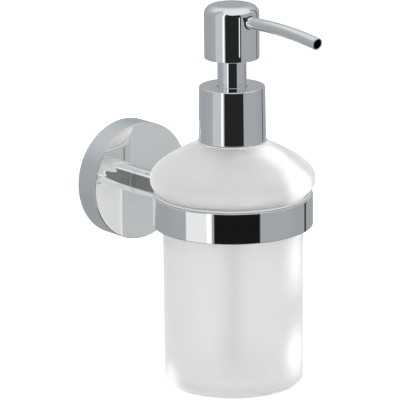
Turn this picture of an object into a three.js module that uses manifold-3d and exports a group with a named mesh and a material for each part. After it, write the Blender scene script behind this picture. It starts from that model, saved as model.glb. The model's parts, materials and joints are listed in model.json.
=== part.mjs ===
// Wall mounted soap dispenser: a chromed wall holder, a frosted glass bottle and a lotion pump.
//
// Millimetres, +Z up. The wall is the plane y = 0 and the object stands out from it towards -Y.
// The origin is the centre of the wall bracket's back face, at the height of the arm, which is
// also the height of the holder ring's middle. The bottle's axis is vertical, at y = -REACH.
import * as THREE from 'three';
import { mergeVertices } from 'three/addons/utils/BufferGeometryUtils.js';
import Module from 'manifold-3d';

const wasm = await Module();
wasm.setup();

// ---------------------------------------------------------------- driving dimensions

const REACH = 78.3; // wall to the bottle's axis
const GAP = 0.1; // between fixed pieces that meet face to face
const FIT = 0.2; // between pieces that sit inside one another
const CLEAR = 0.15; // round a screw in its hole
const PAST = 1; // how far a cutting tool reaches beyond what it cuts

const ROSETTE = { radius: 27.75, depth: 12.7, skirt: 2.2, face: 2.5, bevel: 0.4, screwHole: 2.8 };
const BRACKET = { radius: 21, depth: 5, recessRadius: 15.5, recessDepth: 1.2, bevel: 1 };
const WALL_FIXING = {
  height: 10, // above and below the origin
  shank: 1.75,
  head: 3.4,
  headDepth: 1.7,
  end: 19, // depth of the screw's tip behind the wall's face
  plugRadius: 2.5,
  plugBore: 1.95,
  plugStart: 2.5,
  plugEnd: 19.5,
  plugBevel: 0.4,
  plugSlot: 0.8,
  plugCollar: 4, // length of the plug that isn't slotted
  cross: 0.8, // width of the cross recess
  crossDepth: 1.2,
};
const GRUB = { radius: 1.95, length: 6.2, key: 1.1, keyDepth: 2.2, y: -2.6 };
const ARM = { radius: 6.6, thread: 2.55, rosetteThread: 12, ringThread: 14 }; // and its holes
const ARM_SCREW = { shank: 2.35, head: 4.6, headDepth: 2.6, length: 11, key: 1.6, keyDepth: 1.4 };
const ARM_WASHER = { inner: 2.6, outer: 5.6, thickness: 1 };
const RING = { outer: 36.5, inner: 34, height: 14.1, bevel: 0.35 };
const RING_SCREW = { shank: 2.35, head: 4.4, headDepth: 2.05, length: 12.5, slot: 0.9 };
const LINER = {
  inner: 32.35,
  outer: 33.75,
  lipOuter: 35.5,
  lipTop: 8,
  lipEdge: 0.25,
  seat: 34.5, // inner radius of the lip's top
  throat: 33.3, // inner radius level with the ring's top
  straightTop: 3.2, // where the bore starts to widen
};

const BOTTLE = {
  radius: 32,
  wall: 2.2,
  bottom: -81.8,
  base: 6,
  cornerRadius: 3.6,
  innerCorner: 5,
  pushUp: 1, // hollow under the base
  footWidth: 5, // of the flat ring that it stands on
  footSlope: 2, // width of the slope up to the hollow
  straightTop: 3.2,
  waist: 7, // height where the bulge starts, at the liner's throat
  waistRadius: 32.9,
  bulgeRadius: 37.7,
  bulgeHeight: 14.4,
  shoulderRadius: 16.2,
  landHeight: 31.3,
  neckOuter: 11.3,
  neckBore: 9.2,
  neckTop: 41,
};
// How far the control points of the bulge's curves lie from its widest point or its ends.
const BULGE = {
  waistOut: 2.3,
  waistUp: 2,
  below: 3.8,
  above: 6.2,
  shoulderIn: 9.2,
  shoulderUp: 10.2,
  innerAbove: 6,
  innerShoulderIn: 12.5,
  innerShoulderUp: 9,
  innerWaistOut: 2.2,
  innerWaistStep: 0.6,
  shoulderDrop: 1.6, // inside of the neck starts this far under the land
};
const INSERT = { outer: 12.6, flange: 15.7, flangeThickness: 0.7, top: 40.9 };
const NUT = { bore: 12.8, outer: 14.1, bottom: 32.6, lip: 43.7, top: 45.2, hole: 7 };
const COLLAR = {
  bottom: 32.35,
  top: 57.35,
  bottomRadius: 15.3,
  topRadius: 14.95,
  inner: 14.3,
  plate: 1.2,
  hole: 6.85,
  edge: 0.5,
};

const CYLINDER = {
  outer: 7.4,
  bore: 6.2,
  floor: -8,
  flange: 12.4,
  flangeBottom: 42.3,
  flangeTop: 43.5,
  inletRadius: 1.6,
  inletEnd: -10.2,
  footTop: 0.5, // the taper from the cylinder to the nipple starts this far above the floor
  footEnd: 0.6, // and ends this far below the inlet
  nippleOuter: 4.3,
  nippleBore: 3.15,
  nippleEnd: -22,
};
const GASKET = { inner: 7.7, outer: 12.4, thickness: 1, gap: 0.15 };
const DIP_TUBE = { outer: 3, inner: 2.1, top: -10.6, bottom: -73.5 };
const BALL = { radius: 2.2, segments: 16, rings: 10 };
const CAGE = { outer: 6, inner: 3, bottom: -7.85, plate: -2.9, top: -1.9, hole: 1.5 };
const GUIDE = {
  plug: 6,
  tube: 5.6,
  bore: 3.5,
  bottom: 26.9,
  shoulder: 43.4,
  top: 56.5,
  bevel: 0.5,
};
const SPRING = {
  meanRadius: 4.4,
  wire: 0.5,
  turns: 5.5,
  bottom: -1.7,
  top: 17.2,
  stepsPerTurn: 12,
  sides: 3, // per half of the wire's section
};
const STEM = { outer: 3.3, bore: 1.5, bottom: 17.4, top: 79, flange: 5.2, flangeThickness: 1.2 };
const PISTON = { inner: 3.5, outer: 5.95, bottom: 18.8, top: 24.8 };
const SEAL = { outer: 6.05, top: 26.6, bevel: 0.4 };

const HEAD = {
  radius: 12.5,
  bottom: 70.3,
  top: 94.9,
  crown: 4.2, // height of the rounded crown
  crownWidth: 5, // its width, from the side in to the flat top
  wall: 1.1,
  coreBottom: 72.2,
  coreGap: 0.25, // between the core's side and the shell
  coreTopGap: 0.4,
  socket: 3.5,
  chamber: 2.6,
  chamberTop: 84.2,
  passage: 1.9,
  passageTop: 90.3,
  stemGap: 0.3, // above the stem's end
};
const SLEEVE = { outer: 6.6, inner: 5.95, bottom: 56, top: 78 };
const SPOUT = {
  outer: 2.75,
  bore: 2.2,
  startReach: 2.4, // distances from the bottle's axis
  startHeight: 87.75,
  rise: Math.tan(THREE.MathUtils.degToRad(2.1)),
  bendReach: 18,
  middleReach: 37,
  tipReach: 57.3,
  tipHeight: 85.8,
  fit: 0.12, // round it in the core
  pocket: 0.9, // depth of the core's bore behind its end
  sides: 7, // per half of its section
  steps: 16,
};
const BUSHING = { inner: 2.85, outer: 3.5, hole: 3.65, back: 11.5, front: 12.7 };

const FINE = 48; // segments of the large round pieces
const MEDIUM = 32;
const SMALL = 20;
const BOTTLE_SIDES = 36;
const HEXAGON = 6;

// ---------------------------------------------------------------- geometry helpers

/** Leaves only welded positions and drops collapsed triangles. */
function weld(geometry) {
  geometry.deleteAttribute('normal');
  geometry.deleteAttribute('uv');
  const welded = mergeVertices(geometry);
  const corners = welded.index.array;
  const kept = [];
  for (let i = 0; i < corners.length; i += 3) {
    const [a, b, c] = corners.slice(i, i + 3);
    if (a !== b && b !== c && c !== a) kept.push(a, b, c);
  }
  welded.setIndex(kept);
  return welded;
}

/** Turns a counterclockwise outline of [radius, y] points about the Y axis. */
function turnAboutY(outline, segments) {
  const points = outline.map(([radius, along]) => new THREE.Vector2(radius, along));
  return weld(new THREE.LatheGeometry(points, segments));
}

/** Turns a counterclockwise outline of [radius, z] points about the Z axis. */
function turnAboutZ(outline, segments) {
  return turnAboutY(outline, segments).rotateX(Math.PI / 2);
}

/** A closed outline: its first point again at its end. */
function closed(outline) {
  return [...outline, outline[0]];
}

/** Outline of a plain tube between two heights, with its outer edges bevelled. */
function tubeOutline(inner, outer, low, high, bevel = 0) {
  if (bevel === 0) return closed([[inner, low], [outer, low], [outer, high], [inner, high]]);
  return closed([
    [inner, low],
    [outer - bevel, low],
    [outer, low + bevel],
    [outer, high - bevel],
    [outer - bevel, high],
    [inner, high],
  ]);
}

/** Points of a round or elliptic corner in an outline, between two angles in degrees. */
function corner([centreRadius, centreHeight], [across, up], from, to, steps) {
  return Array.from({ length: steps + 1 }, (_, i) => {
    const angle = THREE.MathUtils.degToRad(from + ((to - from) * i) / steps);
    return [centreRadius + across * Math.cos(angle), centreHeight + up * Math.sin(angle)];
  });
}

/** Points of a cubic Bezier stretch of an outline. */
function bezier(corners, steps) {
  const curve = new THREE.CubicBezierCurve(...corners.map(([x, y]) => new THREE.Vector2(x, y)));
  return curve.getPoints(steps).map((point) => [point.x, point.y]);
}

/** A rod between two points. */
function rod(radius, from, to, segments = SMALL) {
  const along = new THREE.Vector3().subVectors(to, from);
  const geometry = new THREE.CylinderGeometry(radius, radius, along.length(), segments);
  const turn = new THREE.Quaternion().setFromUnitVectors(
    new THREE.Vector3(0, 1, 0),
    along.clone().normalize(),
  );
  geometry.applyQuaternion(turn);
  const middle = new THREE.Vector3().addVectors(from, to).multiplyScalar(0.5);
  return weld(geometry.translate(middle.x, middle.y, middle.z));
}

/** A box given by its size and centre. */
function box(size, centre) {
  return weld(new THREE.BoxGeometry(...size).translate(...centre));
}

function toSolid(geometry) {
  return new wasm.Manifold(
    new wasm.Mesh({
      numProp: 3,
      vertProperties: new Float32Array(geometry.attributes.position.array),
      triVerts: new Uint32Array(geometry.index.array),
    }),
  );
}

function toGeometry(solid) {
  const { vertProperties, triVerts } = solid.getMesh();
  const geometry = new THREE.BufferGeometry();
  geometry.setAttribute('position', new THREE.BufferAttribute(vertProperties, 3));
  geometry.setIndex(new THREE.BufferAttribute(triVerts, 1));
  return geometry;
}

/** Cuts tools out of a geometry. */
function cut(geometry, ...tools) {
  const left = tools.reduce((solid, tool) => solid.subtract(toSolid(tool)), toSolid(geometry));
  return toGeometry(left);
}

/** Sweeps a round section, hollow where a bore is given, along a curve. */
function sweep(curve, radius, bore, sides, steps) {
  const section = new THREE.Shape().absarc(0, 0, radius, 0, 2 * Math.PI);
  if (bore > 0) section.holes.push(new THREE.Path().absarc(0, 0, bore, 0, 2 * Math.PI));
  return weld(
    new THREE.ExtrudeGeometry(section, { extrudePath: curve, steps, curveSegments: sides }),
  );
}

const at = (x, y, z) => new THREE.Vector3(x, y, z);

// ---------------------------------------------------------------- materials

const finish = (color, roughness, metalness) =>
  new THREE.MeshStandardMaterial({ color, roughness, metalness });
const chrome = () => finish(0xd4d8dc, 0.05, 1);
const zinc = () => finish(0xa9adb2, 0.45, 1);
const steel = () => finish(0x9fa3a8, 0.35, 1);
const frostedGlass = () => finish(0xe6eaeb, 0.55, 0);
const clearPlastic = () => finish(0xe9eef0, 0.2, 0);
const whitePlastic = () => finish(0xf0f0ec, 0.4, 0);
const blackPlastic = () => finish(0x202124, 0.4, 0);
const greyRubber = () => finish(0x8b8d8f, 0.8, 0);

// ---------------------------------------------------------------- assembly tree

const dispenser = new THREE.Group();
const bottleAxis = new THREE.Group();
bottleAxis.position.set(0, -REACH, 0);
dispenser.add(bottleAxis);

/** Adds a named sub-part to a group. */
function add(group, name, geometry, material) {
  const mesh = new THREE.Mesh(geometry, material);
  mesh.name = name;
  group.add(mesh);
  return mesh;
}

// ---------------------------------------------------------------- wall side

/** Distances along -Y of the layers between the wall and the arm. */
const plateInside = -(ROSETTE.depth - ROSETTE.face);
const washerBack = plateInside + GAP;
const washerFront = washerBack + ARM_WASHER.thickness;
const armStart = -ROSETTE.depth - GAP;
const recessFloor = -(BRACKET.depth - BRACKET.recessDepth);

/** Bracket: a disc with a recessed front and two countersunk holes. */
function makeBracket() {
  const { radius, depth, recessRadius, bevel } = BRACKET;
  const disc = turnAboutY(
    [
      [0, recessFloor],
      [recessRadius, recessFloor],
      [recessRadius + bevel, -depth],
      [radius - bevel, -depth],
      [radius, -depth + bevel],
      [radius, 0],
      [0, 0],
    ],
    FINE,
  );
  const holes = [1, -1].map((side) => {
    const { shank, head, headDepth, height } = WALL_FIXING;
    const outline = [
      [0, recessFloor - PAST],
      [head + FIT, recessFloor - PAST],
      [head + FIT, recessFloor],
      [shank + FIT, recessFloor + headDepth],
      [shank + FIT, PAST],
      [0, PAST],
    ];
    return turnAboutY(outline, SMALL).translate(0, 0, side * height);
  });
  return cut(disc, ...holes);
}

/** Countersunk wood screw with a cross recess, its head towards -Y. */
function makeWallScrew() {
  const { shank, head, headDepth, end, cross, crossDepth } = WALL_FIXING;
  const headFace = recessFloor + GAP;
  const tip = shank; // a 45 degree point
  const screw = turnAboutY(
    [
      [0, headFace],
      [head, headFace],
      [shank, headFace + headDepth],
      [shank, end - tip],
      [0, end],
    ],
    SMALL,
  );
  const bars = [
    box([head, crossDepth * 2, cross], [0, headFace, 0]),
    box([cross, crossDepth * 2, head], [0, headFace, 0]),
  ];
  return cut(screw, ...bars);
}

/** Wall plug: a sleeve slotted from its tip. */
function makeWallPlug() {
  const { plugRadius, plugBore, plugStart, plugEnd } = WALL_FIXING;
  const { plugBevel, plugSlot, plugCollar } = WALL_FIXING;
  const outline = tubeOutline(plugBore, plugRadius, plugStart, plugEnd, plugBevel);
  const sleeve = turnAboutY(outline, SMALL);
  const slotStart = plugStart + plugCollar;
  const slotLength = plugEnd - slotStart + PAST;
  const across = 2 * (plugRadius + PAST);
  const slot = box([across, slotLength, plugSlot], [0, slotStart + slotLength / 2, 0]);
  return cut(sleeve, slot);
}

/** Rosette: a cup open to the wall, with the arm screw's hole and the grub screw's hole. */
function makeRosette() {
  const { radius, depth, skirt, bevel, screwHole } = ROSETTE;
  const cup = turnAboutY(
    closed([
      [screwHole, -depth],
      [radius - bevel, -depth],
      [radius, -depth + bevel],
      [radius, 0],
      [radius - skirt, 0],
      [radius - skirt, plateInside],
      [screwHole, plateInside],
    ]),
    FINE,
  );
  const inside = at(0, GRUB.y, -BRACKET.radius);
  const outside = at(0, GRUB.y, -radius - PAST);
  return cut(cup, rod(GRUB.radius + CLEAR, inside, outside));
}

/** Grub screw: radial, with a hexagon socket in its outer end. */
function makeGrubScrew() {
  const top = -BRACKET.radius - FIT;
  const bottom = top - GRUB.length;
  const body = rod(GRUB.radius, at(0, GRUB.y, top), at(0, GRUB.y, bottom), SMALL);
  const keyEnd = at(0, GRUB.y, bottom + GRUB.keyDepth);
  const key = rod(GRUB.key, keyEnd, at(0, GRUB.y, bottom - PAST), HEXAGON);
  return cut(body, key);
}

/** Arm: a round bar coped to the ring, with a blind threaded hole in each end. */
function makeArm() {
  const { radius, thread, rosetteThread, ringThread } = ARM;
  const ringSide = -REACH + RING.outer;
  const insideRing = at(0, ringSide - 2 * PAST, 0);
  const bar = rod(radius, at(0, armStart, 0), insideRing, MEDIUM);
  const cope = turnAboutZ(
    [
      [0, -radius - PAST],
      [RING.outer + GAP, -radius - PAST],
      [RING.outer + GAP, radius + PAST],
      [0, radius + PAST],
    ],
    FINE,
  ).translate(0, -REACH, 0);
  const rearHole = rod(thread, at(0, armStart + PAST, 0), at(0, armStart - rosetteThread, 0));
  const frontHole = rod(thread, insideRing, at(0, ringSide + ringThread, 0));
  return cut(bar, cope, rearHole, frontHole);
}

/** Arm screw: its low head inside the rosette, its shank in the arm. */
function makeArmScrew() {
  const { shank, head, headDepth, length, key, keyDepth } = ARM_SCREW;
  const underHead = washerFront + GAP;
  const headTop = underHead + headDepth;
  const screw = turnAboutY(
    [
      [0, armStart - length],
      [shank, armStart - length],
      [shank, underHead],
      [head, underHead],
      [head, headTop],
      [0, headTop],
    ],
    SMALL,
  );
  return cut(screw, rod(key, at(0, headTop - keyDepth, 0), at(0, headTop + PAST, 0), HEXAGON));
}

/** Ring: a flat band with a countersunk hole towards the arm. */
function makeRing() {
  const half = RING.height / 2;
  const { inner, outer, bevel } = RING;
  const band = turnAboutZ(tubeOutline(inner, outer, -half, half, bevel), FINE);
  const { shank, head, headDepth } = RING_SCREW;
  const countersink = turnAboutY(
    [
      [0, inner - PAST],
      [head + CLEAR, inner - PAST],
      [head + CLEAR, inner + GAP],
      [shank + CLEAR, inner + GAP + headDepth],
      [shank + CLEAR, outer + PAST],
      [0, outer + PAST],
    ],
    SMALL,
  );
  return cut(band, countersink);
}

/** Ring screw: countersunk from inside the ring, its shank in the arm. */
function makeRingScrew() {
  const { shank, head, headDepth, length, slot } = RING_SCREW;
  const face = RING.inner + GAP;
  const screw = turnAboutY(
    [
      [0, face],
      [head, face],
      [shank, face + headDepth],
      [shank, face + headDepth + length],
      [0, face + headDepth + length],
    ],
    SMALL,
  );
  return cut(screw, box([slot, headDepth, 2 * (head + PAST)], [0, face, 0]));
}

/** Liner: a thin sleeve in the ring whose lip lies on the ring's top and carries the bottle. */
function makeLiner() {
  const half = RING.height / 2;
  const { inner, outer, lipOuter, lipTop, lipEdge, seat, throat, straightTop } = LINER;
  return turnAboutZ(
    closed([
      [inner, -half + GAP],
      [outer, -half + GAP],
      [outer, half + GAP],
      [lipOuter, half + GAP],
      [lipOuter, lipTop - lipEdge],
      [lipOuter - lipEdge, lipTop],
      [seat, lipTop],
      [throat, half],
      [inner, straightTop],
    ]),
    FINE,
  );
}

add(dispenser, 'wall_bracket', makeBracket(), zinc());
for (const [level, side] of [['upper', 1], ['lower', -1]]) {
  const height = side * WALL_FIXING.height;
  add(dispenser, `wall_screw_${level}`, makeWallScrew(), steel()).position.z = height;
  add(dispenser, `wall_plug_${level}`, makeWallPlug(), whitePlastic()).position.z = height;
}
add(dispenser, 'rosette_cover', makeRosette(), chrome());
add(dispenser, 'grub_screw', makeGrubScrew(), steel());
add(dispenser, 'arm', makeArm(), chrome());
const washer = tubeOutline(ARM_WASHER.inner, ARM_WASHER.outer, washerBack, washerFront);
add(dispenser, 'arm_washer', turnAboutY(washer, SMALL), steel());
add(dispenser, 'arm_screw', makeArmScrew(), steel());
add(bottleAxis, 'holder_ring', makeRing(), chrome());
add(bottleAxis, 'ring_screw', makeRingScrew(), steel());
add(bottleAxis, 'ring_liner', makeLiner(), clearPlastic());

// ---------------------------------------------------------------- bottle

/** Bottle: one glass wall from the base round the corner, up the bulge and into the neck. */
function makeBottle() {
  const { radius, wall, bottom, base, cornerRadius, innerCorner } = BOTTLE;
  const { pushUp, footWidth, footSlope, straightTop, waist, waistRadius } = BOTTLE;
  const { bulgeRadius, bulgeHeight, shoulderRadius, landHeight } = BOTTLE;
  const { neckOuter, neckBore, neckTop } = BOTTLE;
  const innerRadius = radius - wall;
  const floor = bottom + base;
  const outerCentre = [radius - cornerRadius, bottom + cornerRadius];
  const innerCentre = [innerRadius - innerCorner, floor + innerCorner];
  const footInner = outerCentre[0] - footWidth;

  const outerBulge = bezier(
    [
      [waistRadius, waist],
      [waistRadius + BULGE.waistOut, waist + BULGE.waistUp],
      [bulgeRadius, bulgeHeight - BULGE.below],
      [bulgeRadius, bulgeHeight],
    ],
    5,
  );
  const outerShoulder = bezier(
    [
      [bulgeRadius, bulgeHeight],
      [bulgeRadius, bulgeHeight + BULGE.above],
      [bulgeRadius - BULGE.shoulderIn, bulgeHeight + BULGE.shoulderUp],
      [shoulderRadius, landHeight],
    ],
    7,
  );
  const innerShoulder = bezier(
    [
      [neckBore, landHeight - BULGE.shoulderDrop],
      [bulgeRadius - BULGE.innerShoulderIn, bulgeHeight + BULGE.innerShoulderUp],
      [bulgeRadius - wall, bulgeHeight + BULGE.innerAbove],
      [bulgeRadius - wall, bulgeHeight],
    ],
    5,
  );
  const innerBulge = bezier(
    [
      [bulgeRadius - wall, bulgeHeight],
      [bulgeRadius - wall, bulgeHeight - BULGE.below],
      [innerRadius + BULGE.innerWaistOut, waist + BULGE.waistUp],
      [innerRadius + BULGE.innerWaistStep, waist - PAST],
    ],
    3,
  );
  const outline = [
    [0, bottom + pushUp],
    [footInner - footSlope, bottom + pushUp],
    [footInner, bottom],
    ...corner(outerCentre, [cornerRadius, cornerRadius], -90, 0, 4),
    [radius, straightTop],
    ...outerBulge,
    ...outerShoulder.slice(1),
    [neckOuter, landHeight],
    [neckOuter, neckTop],
    [neckBore, neckTop],
    ...innerShoulder,
    ...innerBulge.slice(1),
    [innerRadius, straightTop - PAST],
    ...corner(innerCentre, [innerCorner, innerCorner], 0, -90, 3),
    [0, floor],
  ];
  return turnAboutZ(outline, BOTTLE_SIDES);
}

/** Neck insert: a threaded sleeve bonded on the glass neck, with a flange on the shoulder. */
function makeInsert() {
  const inner = BOTTLE.neckOuter + FIT;
  const low = BOTTLE.landHeight + FIT;
  const { outer, flange, flangeThickness, top } = INSERT;
  return turnAboutZ(
    closed([
      [inner, low],
      [flange, low],
      [flange, low + flangeThickness],
      [outer, low + flangeThickness],
      [outer, top],
      [inner, top],
    ]),
    MEDIUM,
  );
}

add(bottleAxis, 'glass_bottle', makeBottle(), frostedGlass());
add(bottleAxis, 'neck_insert', makeInsert(), clearPlastic());

// ---------------------------------------------------------------- closure

/** Closure nut: screws on the neck insert and clamps the pump's flange with its lip. */
function makeNut() {
  const { bore, outer, bottom, lip, top, hole } = NUT;
  return turnAboutZ(
    closed([
      [bore, bottom],
      [outer, bottom],
      [outer, top],
      [hole, top],
      [hole, lip],
      [bore, lip],
    ]),
    MEDIUM,
  );
}

/** Collar cover: a drawn cup over the nut, a little wider at its foot. */
function makeCollar() {
  const { bottom, top, bottomRadius, topRadius, inner, plate, hole, edge } = COLLAR;
  return turnAboutZ(
    closed([
      [inner, bottom],
      [bottomRadius, bottom],
      ...corner([topRadius - edge, top - edge], [edge, edge], 0, 90, 3),
      [hole, top],
      [hole, top - plate],
      [inner, top - plate],
    ]),
    MEDIUM,
  );
}

add(bottleAxis, 'closure_nut', makeNut(), whitePlastic());
add(bottleAxis, 'collar_cover', makeCollar(), chrome());

// ---------------------------------------------------------------- fixed half of the pump

/** Cylinder: flange on the neck, bore for the piston, inlet and a nipple for the dip tube. */
function makeCylinder() {
  const { outer, bore, floor, flange, flangeBottom, flangeTop } = CYLINDER;
  const { inletRadius, inletEnd, footTop, footEnd } = CYLINDER;
  const { nippleOuter, nippleBore, nippleEnd } = CYLINDER;
  return turnAboutZ(
    closed([
      [nippleBore, nippleEnd],
      [nippleOuter, nippleEnd],
      [nippleOuter, inletEnd - footEnd],
      [outer, floor + footTop],
      [outer, flangeBottom],
      [flange, flangeBottom],
      [flange, flangeTop],
      [bore, flangeTop],
      [bore, floor],
      [inletRadius, floor],
      [inletRadius, inletEnd],
      [nippleBore, inletEnd],
    ]),
    SMALL,
  );
}

/** Ball cage: an upturned cup with a hole, over the inlet ball and under the spring. */
function makeCage() {
  const { outer, inner, bottom, plate, top, hole } = CAGE;
  return turnAboutZ(
    closed([
      [inner, bottom],
      [outer, bottom],
      [outer, top],
      [hole, top],
      [hole, plate],
      [inner, plate],
    ]),
    SMALL,
  );
}

/** Guide: a plug in the cylinder's mouth that stops the piston, and a tube round the stem. */
function makeGuide() {
  const { plug, tube, bore, bottom, shoulder, top, bevel } = GUIDE;
  return turnAboutZ(
    closed([
      [bore, bottom],
      [plug, bottom],
      [plug, shoulder],
      [tube, shoulder + FIT],
      [tube, top - bevel],
      [tube - bevel, top],
      [bore, top],
    ]),
    SMALL,
  );
}

/** Check ball that rests on the rim of a hole. */
function makeBall(holeRadius, rimHeight) {
  const { radius, segments, rings } = BALL;
  const centre = rimHeight + Math.sqrt(radius ** 2 - holeRadius ** 2) + GAP;
  const ball = weld(new THREE.SphereGeometry(radius, segments, rings));
  return ball.rotateX(Math.PI / 2).translate(0, 0, centre);
}

/** Centre line of the return spring. */
class Helix extends THREE.Curve {
  getPoint(t, target = new THREE.Vector3()) {
    const { meanRadius, wire, turns, bottom, top } = SPRING;
    const angle = 2 * Math.PI * turns * t;
    const height = THREE.MathUtils.lerp(bottom + wire, top - wire, t);
    return target.set(meanRadius * Math.cos(angle), meanRadius * Math.sin(angle), height);
  }
}

const gasketBottom = BOTTLE.neckTop + GASKET.gap;
const gasketTop = gasketBottom + GASKET.thickness;
const springSteps = SPRING.stepsPerTurn * SPRING.turns;
const spring = sweep(new Helix(), SPRING.wire, 0, SPRING.sides, springSteps);
add(bottleAxis, 'pump_cylinder', makeCylinder(), whitePlastic());
const gasket = tubeOutline(GASKET.inner, GASKET.outer, gasketBottom, gasketTop);
add(bottleAxis, 'pump_gasket', turnAboutZ(gasket, SMALL), greyRubber());
const dipTube = tubeOutline(DIP_TUBE.inner, DIP_TUBE.outer, DIP_TUBE.bottom, DIP_TUBE.top);
add(bottleAxis, 'dip_tube', turnAboutZ(dipTube, SMALL), clearPlastic());
const inletBall = makeBall(CYLINDER.inletRadius, CYLINDER.floor);
add(bottleAxis, 'inlet_ball', inletBall, steel());
add(bottleAxis, 'ball_cage', makeCage(), whitePlastic());
add(bottleAxis, 'stem_guide', makeGuide(), whitePlastic());
add(bottleAxis, 'return_spring', spring, steel());

// ---------------------------------------------------------------- plunger

/** Piston stem: a hollow rod with a foot that the spring pushes up. */
function makeStem() {
  const { outer, bore, bottom, top, flange, flangeThickness } = STEM;
  return turnAboutZ(
    closed([
      [bore, bottom],
      [flange, bottom],
      [flange, bottom + flangeThickness],
      [outer, bottom + flangeThickness],
      [outer, top],
      [bore, top],
    ]),
    SMALL,
  );
}

add(bottleAxis, 'piston_stem', makeStem(), whitePlastic());
const piston = tubeOutline(PISTON.inner, PISTON.outer, PISTON.bottom, PISTON.top);
add(bottleAxis, 'piston', turnAboutZ(piston, SMALL), whitePlastic());
const seal = tubeOutline(PISTON.inner, SEAL.outer, PISTON.top + FIT, SEAL.top, SEAL.bevel);
add(bottleAxis, 'piston_seal', turnAboutZ(seal, SMALL), greyRubber());
add(bottleAxis, 'outlet_ball', makeBall(STEM.bore, STEM.top), steel());

// ---------------------------------------------------------------- head and spout

/** Height of the spout's centre line on its straight stretch. */
const spoutHeight = (reach) => SPOUT.startHeight + SPOUT.rise * (reach - SPOUT.startReach);

/** Spout's centre line: straight out of the head, then one gentle bend downwards. */
function spoutCurve() {
  const { startReach, bendReach, middleReach, tipReach, tipHeight } = SPOUT;
  const bend = at(0, -bendReach, spoutHeight(bendReach));
  const middle = at(0, -middleReach, spoutHeight(middleReach));
  const path = new THREE.CurvePath();
  path.add(new THREE.LineCurve3(at(0, -startReach, spoutHeight(startReach)), bend));
  path.add(new THREE.QuadraticBezierCurve3(bend, middle, at(0, -tipReach, tipHeight)));
  return path;
}

/** Straight rod along the spout's first stretch. */
function spoutRod(radius, fromReach, toReach) {
  const from = at(0, -fromReach, spoutHeight(fromReach));
  return rod(radius, from, at(0, -toReach, spoutHeight(toReach)));
}

/** Head core: sockets for stem, sleeve and spout, joined by the outlet ball's chamber. */
function makeCore() {
  const { radius, wall, crown, crownWidth, top, coreBottom, coreGap, coreTopGap } = HEAD;
  const { socket, chamber, chamberTop, passage, passageTop, stemGap } = HEAD;
  const outer = radius - wall - coreGap;
  const coreTop = top - wall - coreTopGap;
  const socketTop = STEM.top + stemGap;
  const core = turnAboutZ(
    [
      [0, passageTop],
      [passage, passageTop],
      [passage, chamberTop],
      [chamber, chamberTop],
      [chamber, socketTop],
      [socket, socketTop],
      [socket, coreBottom],
      [SLEEVE.inner - FIT, coreBottom],
      [SLEEVE.inner - FIT, SLEEVE.top + FIT],
      [SLEEVE.outer + FIT, SLEEVE.top + FIT],
      [SLEEVE.outer + FIT, coreBottom],
      [outer, coreBottom],
      [outer, coreTop - (crown - wall)],
      [outer - (crownWidth - wall), coreTop],
      [0, coreTop],
    ],
    MEDIUM,
  );
  return cut(core, spoutRod(SPOUT.outer + SPOUT.fit, SPOUT.startReach - SPOUT.pocket, radius));
}

/** Head shell: an upturned cup with a rounded crown and the spout's hole. */
function makeShell() {
  const { radius, bottom, top, crown, crownWidth, wall } = HEAD;
  const crownCentre = [radius - crownWidth, top - crown];
  const shell = turnAboutZ(
    [
      [0, top - wall],
      ...corner(crownCentre, [crownWidth - wall, crown - wall], 90, 0, 4),
      [radius - wall, bottom],
      [radius, bottom],
      ...corner(crownCentre, [crownWidth, crown], 0, 90, 6),
      [0, top],
    ],
    MEDIUM,
  );
  return cut(shell, spoutRod(BUSHING.hole, radius - wall - 2 * PAST, radius + 2 * PAST));
}

/** Bushing: a short dark tube between the shell's hole and the spout. */
function makeBushing() {
  const outside = spoutRod(BUSHING.outer, BUSHING.back, BUSHING.front);
  return cut(outside, spoutRod(BUSHING.inner, BUSHING.back - PAST, BUSHING.front + PAST));
}

add(bottleAxis, 'head_core', makeCore(), whitePlastic());
add(bottleAxis, 'head_shell', makeShell(), chrome());
const sleeve = tubeOutline(SLEEVE.inner, SLEEVE.outer, SLEEVE.bottom, SLEEVE.top);
add(bottleAxis, 'stem_sleeve', turnAboutZ(sleeve, MEDIUM), chrome());
add(bottleAxis, 'spout_bushing', makeBushing(), blackPlastic());
const spout = sweep(spoutCurve(), SPOUT.outer, SPOUT.bore, SPOUT.sides, SPOUT.steps);
add(bottleAxis, 'spout', spout, chrome());

export default dispenser;
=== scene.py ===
"""Looks of the wall mounted soap dispenser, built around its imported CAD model.

Metres, +Z up. The wall is the plane y = 0, the object stands out from it towards -Y, and the
bottle's axis is vertical. Round pieces are turned from rounded outlines of (radius, height).
"""

import json
import math

import bmesh
import bpy
from mathutils import Matrix, Vector


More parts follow.
